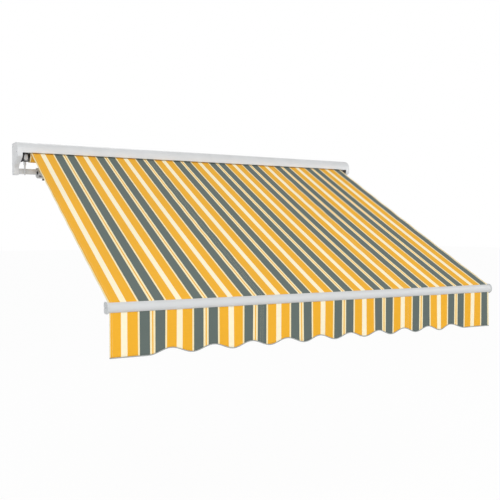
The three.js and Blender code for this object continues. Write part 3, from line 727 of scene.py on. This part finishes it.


# Crank gear: a dark housing round the worm wheel, its dark partly painted shade, with a light cover and
# neck for the crank's rod
GEAR_LEFT, GEAR_RIGHT = -1.4708, -1.437
GEAR_FOOT, GEAR_FRONT, GEAR_CHAMFER = 0.078, -0.15, 0.004
GEAR_COVER_LOW, GEAR_COVER_HIGH, GEAR_COVER_FACE = 0.074, 0.123, -0.1545
GEAR_SCREW_HEIGHTS, GEAR_SCREW_RADIUS = (0.079, 0.118), 0.003
ROD_X, ROD_Y = -1.459, -0.136
NECK_STEPS = ((0.044, 0.071, 0.0086, 0.0112), (0.041, 0.0475, 0.0104, 0.0104))  # low, high, two radii


def shaded_gear_housing():
    slant = GEAR_FRONT + GEAR_CHAMFER
    brow, face_top, face_foot, chin = 0.136, 0.126, 0.072, 0.064
    bm = profile(
        (ROLLER_Y, GEAR_FOOT), (ROLLER_Y, ROLLER_Z, 180), (slant, brow), (GEAR_FRONT, face_top),
        (GEAR_FRONT, face_foot), (slant, chin),
    )
    draw_out(bm, GEAR_LEFT, GEAR_RIGHT)
    round_off(bm, sharp_edges(bm), offset=0.002, segments=3)
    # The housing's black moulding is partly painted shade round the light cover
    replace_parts(piece("shaded_gear_housing", bm, BLACK_PLASTIC, "black_plastic", "root"), "gear_case")


def gear_cover():
    back, margin = GEAR_FRONT + 0.0005, 0.0025
    bm = profile(
        (back, GEAR_COVER_LOW), (back, GEAR_COVER_HIGH),
        (GEAR_COVER_FACE, GEAR_COVER_HIGH), (GEAR_COVER_FACE, GEAR_COVER_LOW),
    )
    draw_out(bm, GEAR_LEFT + margin, GEAR_RIGHT - margin)
    round_off(bm, sharp_edges(bm), offset=0.0015, segments=3)
    piece("gear_cover", bm, CAST, "cast_metal", "root")


def gear_neck():
    bm = bmesh.new()
    for low, high, foot, top in NECK_STEPS:
        middle = Matrix.Translation((ROD_X, ROD_Y, (low + high) / 2))
        upright_cone(bm, middle, high - low, foot, top, segments=28)
    round_off(bm, sharp_edges(bm), CORNER)
    piece("gear_neck", bm, CAST, "cast_metal", "root")


def gear_screws():
    middle, apart, face = ROD_X + 0.005, 0.011, GEAR_COVER_FACE - 0.0007
    places = [(middle + side * apart, face, z) for side in (-1, 1) for z in GEAR_SCREW_HEIGHTS]
    heads = [(place, (0, -1, 0), GEAR_SCREW_RADIUS) for place in places]
    screws("gear_screws", "root", heads, DARK_STEEL, "dark_steel")


def gear():
    shaded_gear_housing()
    gear_cover()
    gear_neck()
    gear_screws()


# Front bar: a half oval in front, two lobes behind, and two grooves that hold the cloths
OVAL_Y, OVAL_DEPTH, OVAL_HEIGHT = -0.006, 0.026, 0.029
OVAL_SQUEEZE = OVAL_DEPTH / OVAL_HEIGHT
LOBE_Y = 0.014
UPPER_LOBE, LOWER_LOBE = (0.011, 0.018), (-0.013, 0.016)  # height and radius
BAR_CAP_PROUD = 1.15  # the cap's outline, as a share of the bar's
BAR_SCREW, BAR_SCREW_RADIUS = (-0.001, 0.001), 0.004
BAR_SCREW_DEPTH = 0.0006  # from the cap's end to the middle of the head


def on_bar(y, z):
    return (BAR_Y + y, BAR_Z + z)


def bar_back():
    """The bar's back from its foot to its top, round both lobes."""
    (high, high_radius), (low, low_radius) = UPPER_LOBE, LOWER_LOBE
    gap = high - low
    dip = (high_radius ** 2 - low_radius ** 2 + gap ** 2) / (2 * gap)
    notch = math.sqrt(high_radius ** 2 - dip ** 2)
    low_turn = 90 + math.degrees(math.atan2(gap - dip, notch))
    high_turn = 90 + math.degrees(math.atan2(dip, notch))
    return [
        on_bar(LOBE_Y, -OVAL_HEIGHT), (*on_bar(LOBE_Y, low), low_turn),
        (*on_bar(LOBE_Y, high), high_turn),
    ]


def groove(y, z, half_mouth, radius, mouth_turn):
    """A round groove with a narrow mouth, which opens upwards (mouth_turn 1) or downwards (-1)."""
    bottom = z + mouth_turn * math.sqrt(radius ** 2 - half_mouth ** 2)
    turn = 360 - math.degrees(2 * math.asin(half_mouth / radius))
    return [on_bar(y + mouth_turn * half_mouth, bottom), (*on_bar(y, z), -turn)]


def oval_turn(y):
    """The turn from the oval's rear, over its top and front, to a place y on its underside."""
    return 360 - math.degrees(math.acos((y - OVAL_Y) / OVAL_DEPTH))


def oval_foot(y):
    return -OVAL_HEIGHT * math.sqrt(1 - ((y - OVAL_Y) / OVAL_DEPTH) ** 2)


def front_bar():
    upper, lower = CANOPY_GROOVE, VALANCE_GROOVE
    upper_back, upper_front = upper["y"] + upper["half_mouth"], upper["y"] - upper["half_mouth"]
    lower_front, lower_back = lower["y"] - lower["half_mouth"], lower["y"] + lower["half_mouth"]
    bm = profile(
        on_bar(OVAL_Y, OVAL_HEIGHT), (*on_bar(OVAL_Y, 0), oval_turn(lower_front) - 90, OVAL_SQUEEZE),
        on_bar(lower_front, oval_foot(lower_front)), *groove(**lower, mouth_turn=-1),
        on_bar(lower_back, oval_foot(lower_back)),
        (*on_bar(OVAL_Y, 0), 270 - oval_turn(lower_back), OVAL_SQUEEZE), *bar_back(),
        on_bar(upper_back, OVAL_HEIGHT), *groove(**upper, mouth_turn=1),
        on_bar(upper_front, OVAL_HEIGHT),
    )
    low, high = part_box("front_bar")
    # The extrusion takes the darker copy of the white coat, which paints in its shade
    made = piece("bar_extrusion", draw_out(bm, low.x, high.x), SHADED_BAR_COAT, "coated_metal", "front_bar")
    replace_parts(made, "front_bar")


def bar_cap(side, turn):
    """A moulded cap that stands proud all round, with a rounded edge, a sunk face and one screw."""
    low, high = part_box("bar_cap_" + side)
    inner, outer = (high.x, low.x) if turn < 0 else (low.x, high.x)
    bm = profile(on_bar(OVAL_Y, OVAL_HEIGHT), (*on_bar(OVAL_Y, 0), 180, OVAL_SQUEEZE), *bar_back())
    middle = Matrix.Translation((0, -BAR_Y, -BAR_Z))
    bmesh.ops.scale(bm, vec=(1, BAR_CAP_PROUD, BAR_CAP_PROUD), space=middle, verts=bm.verts)
    draw_out(bm, inner, outer)
    sink(bm, end_face(bm, outer), border=0.006, wall=0.001, depth=0.0012)
    round_off(bm, rim_edges(bm, outer), offset=0.003, segments=4)
    # The cap's darker grey is partly painted shade for its rim
    made = piece("bar_cover_" + side, bm, CAP_GREY_AND_SHADE, "coated_metal", "front_bar")
    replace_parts(made, "bar_cap_" + side)
    place = (outer - turn * BAR_SCREW_DEPTH, *on_bar(*BAR_SCREW))
    screws("bar_screw_" + side, "front_bar", [(place, (turn, 0, 0), BAR_SCREW_RADIUS)])


# Elbows: a flat steel band runs from the fork over the round of the knuckle, and the spring pulls it
ARM_REACH = (Vector(SHOULDER) - Vector(WRIST)).length / 2 / math.cos(OPEN_HALF_ANGLE)
FOLD_TURN = math.pi / 2 - OPEN_HALF_ANGLE - math.asin(ELBOW_OFFSET / ARM_REACH)
BAND_RADIUS, BAND_HALF_WIDTH, BAND_THICKNESS = 0.0232, 0.011, 0.0016
BAND_RUN, BAND_TAIL = 0.051, 0.02  # straight lengths before and after the knuckle
BAND_PIN = dict(radius=0.0045, length=0.0338, along=-0.042, below=0.0055)


def elbow_frame(turn):
    """The elbow's pivot with X along the upper arm, Z square to the arms' plane."""
    arm = Matrix.Translation((math.sqrt(ARM_REACH ** 2 - ELBOW_OFFSET ** 2), -ELBOW_OFFSET, 0))
    plane = Matrix.Translation(SHOULDER) @ Matrix.Rotation(ARM_SLOPE, 4, "X")
    return Matrix.Scale(-turn, 4, (1, 0, 0)) @ plane @ Matrix.Rotation(-FOLD_TURN, 4, "Z") @ arm


def elbow_band(side, elbow):
    wrap = math.pi - 2 * FOLD_TURN
    bm = bmesh.new()
    tip = bm.verts.new((-BAND_RUN, BAND_RADIUS, -BAND_HALF_WIDTH))
    for along in steps(-BAND_RUN, 0, 6)[1:]:
        tip = extended(bm, tip, (along, BAND_RADIUS, -BAND_HALF_WIDTH))
    start = tip.co.copy()
    turned = bmesh.ops.spin(bm, geom=[tip], cent=(0, 0, 0), axis=(0, 0, -1), angle=wrap, steps=30)
    tip = only_verts(turned["geom_last"])[0]
    end = tip.co.copy()
    extended(bm, tip, end + Vector((math.cos(wrap), -math.sin(wrap), 0)) * BAND_TAIL)
    drawn = bmesh.ops.extrude_edge_only(bm, edges=bm.edges)["geom"]
    bmesh.ops.translate(bm, vec=(0, 0, 2 * BAND_HALF_WIDTH), verts=only_verts(drawn))
    bmesh.ops.recalc_face_normals(bm, faces=bm.faces)
    bmesh.ops.solidify(bm, geom=bm.faces[:], thickness=BAND_THICKNESS)
    bmesh.ops.transform(bm, matrix=elbow, verts=bm.verts)
    made = piece("elbow_band_" + side, bm, ZINC, "zinc_steel", None)
    side + "_upper_arm"
    side + "_forearm"
    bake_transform(made)


def band_pin(side, elbow):
    bm = bmesh.new()
    place = elbow @ Matrix.Translation((BAND_PIN["along"], BAND_RADIUS - BAND_PIN["below"], 0))
    upright_cone(bm, place, BAND_PIN["length"], BAND_PIN["radius"], BAND_PIN["radius"], segments=20)
    piece("band_pin_" + side, bm, ZINC, "zinc_steel", side + "_upper_arm")


def band_with_pin(side, turn):
    elbow = elbow_frame(turn)
    elbow_band(side, elbow)
    band_pin(side, elbow)


# Every other part keeps its shape and gets rounded corners
MADE_NEW = {
    "canopy", "fabric_roll", "valance", "hood", "front_bar", "gear_case",
    "end_cap_left", "end_cap_right", "bar_cap_left", "bar_cap_right",
}


def refined(node):
    """A copy of a CAD node with its corners rounded, which stands for the node."""
    bm = bmesh.new()
    bm.from_mesh(frame["nodes"][node].data)
    bmesh.ops.remove_doubles(bm, verts=bm.verts, dist=1e-5)
    bmesh.ops.dissolve_limit(bm, angle_limit=math.radians(0.5), verts=bm.verts, edges=bm.edges)
    round_off(bm, sharp_edges(bm), CORNER)
    slot = "cast_metal" if node == "idler_bracket" else slots[node]
    body = frame["nodes"][node]["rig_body"]
    made = piece("finished_" + node, bm, SLOT_FINISH[slot], slot, body, recalculate=False)
    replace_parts(made, node)


def both_sides(make):
    for side, turn in (("left", -1), ("right", 1)):
        make(side, turn)


canopy()
roll()
valance()
hood()
both_sides(end_cap)
gear()
front_bar()
both_sides(bar_cap)
both_sides(band_with_pin)
for node in sorted(set(slots) - MADE_NEW):
    refined(node)


# Camera, light, floor and backdrop
CAMERA_PLACE = (-2.6403, -5.6765, -0.4779)
CAMERA_TURN, CAMERA_TILT, LENS = math.radians(29.393), math.radians(1.261), 51.754
WORLD_LEVEL = 0.6
FLOOR_Z, FLOOR_HALF, FLOOR_WHITE = -2.6, 90, 0.95
AIM = (0, -1, -0.4)
WHITE = (1, 1, 1, 1)


def camera():
    data = bpy.data.cameras.new("camera")
    data.sensor_width, data.lens = 36, LENS
    made = bpy.data.objects.new("camera", data)
    made.location = CAMERA_PLACE
    made.rotation_euler = (math.pi / 2 - CAMERA_TILT, 0, -CAMERA_TURN)
    bpy.context.scene.collection.objects.link(made)
    bpy.context.scene.camera = made


def lamp(name, place, target, power, size=4.0):
    data = bpy.data.lights.new(name, "AREA")
    data.size, data.energy = size, power
    made = bpy.data.objects.new(name, data)
    made.location = place
    made.rotation_euler = (Vector(target) - Vector(place)).to_track_quat("-Z", "Y").to_euler()
    bpy.context.scene.collection.objects.link(made)


def white_where_seen(finish, shader, share=1.0):
    """White for the camera and in gloss and glass, and the given shader for all other light."""
    rays = ("Is Camera Ray", "Is Glossy Ray", "Is Transmission Ray")
    seen = sum(finish.node("LightPath", output=ray) for ray in rays).clamped()
    glow = finish.node("Emission", {}, {"Color": WHITE})
    return finish.node("MixShader", {}, [seen * share, shader, glow])


def world():
    """Even light from all round, seen as plain white."""
    scene = bpy.context.scene
    scene.world = bpy.data.worlds.new("world")
    finish = Finish("world", scene.world)
    soft = finish.node("Background", {}, {"Color": WHITE, "Strength": WORLD_LEVEL})
    finish.end(white_where_seen(finish, soft))


def floor():
    """A pale floor whose shadow shows only faintly, and which isn't there from below."""
    bm = bmesh.new()
    bmesh.ops.create_grid(bm, x_segments=1, y_segments=1, size=FLOOR_HALF)
    bmesh.ops.translate(bm, vec=(0, 0, FLOOR_Z), verts=bm.verts)
    finish = Finish("pale_floor", Base_Color=(0.93, 0.93, 0.93, 1), Roughness=0.9)
    pale = white_where_seen(finish, Value(finish, finish.shader.outputs["BSDF"]), FLOOR_WHITE)
    nothing = finish.node("BsdfTransparent")
    below = finish.node("NewGeometry", output="Backfacing")
    finish.end(finish.node("MixShader", {}, [below, pale, nothing]))
    mesh = bpy.data.meshes.new("floor")
    bm.to_mesh(mesh)
    bm.free()
    mesh.materials.append(finish.material)
    made = bpy.data.objects.new("floor", mesh)
    bpy.context.scene.collection.objects.link(made)


bpy.context.scene.view_settings.view_transform = "Standard"
camera()
world()
floor()
lamp("key", (-3.4, -7.4, 4.1), AIM, power=255)
lamp("fill", (6.0, -5.8, 1.8), AIM, power=95)
lamp("back", (0.5, 5.0, 4.0), (0, -1, 0), power=60)
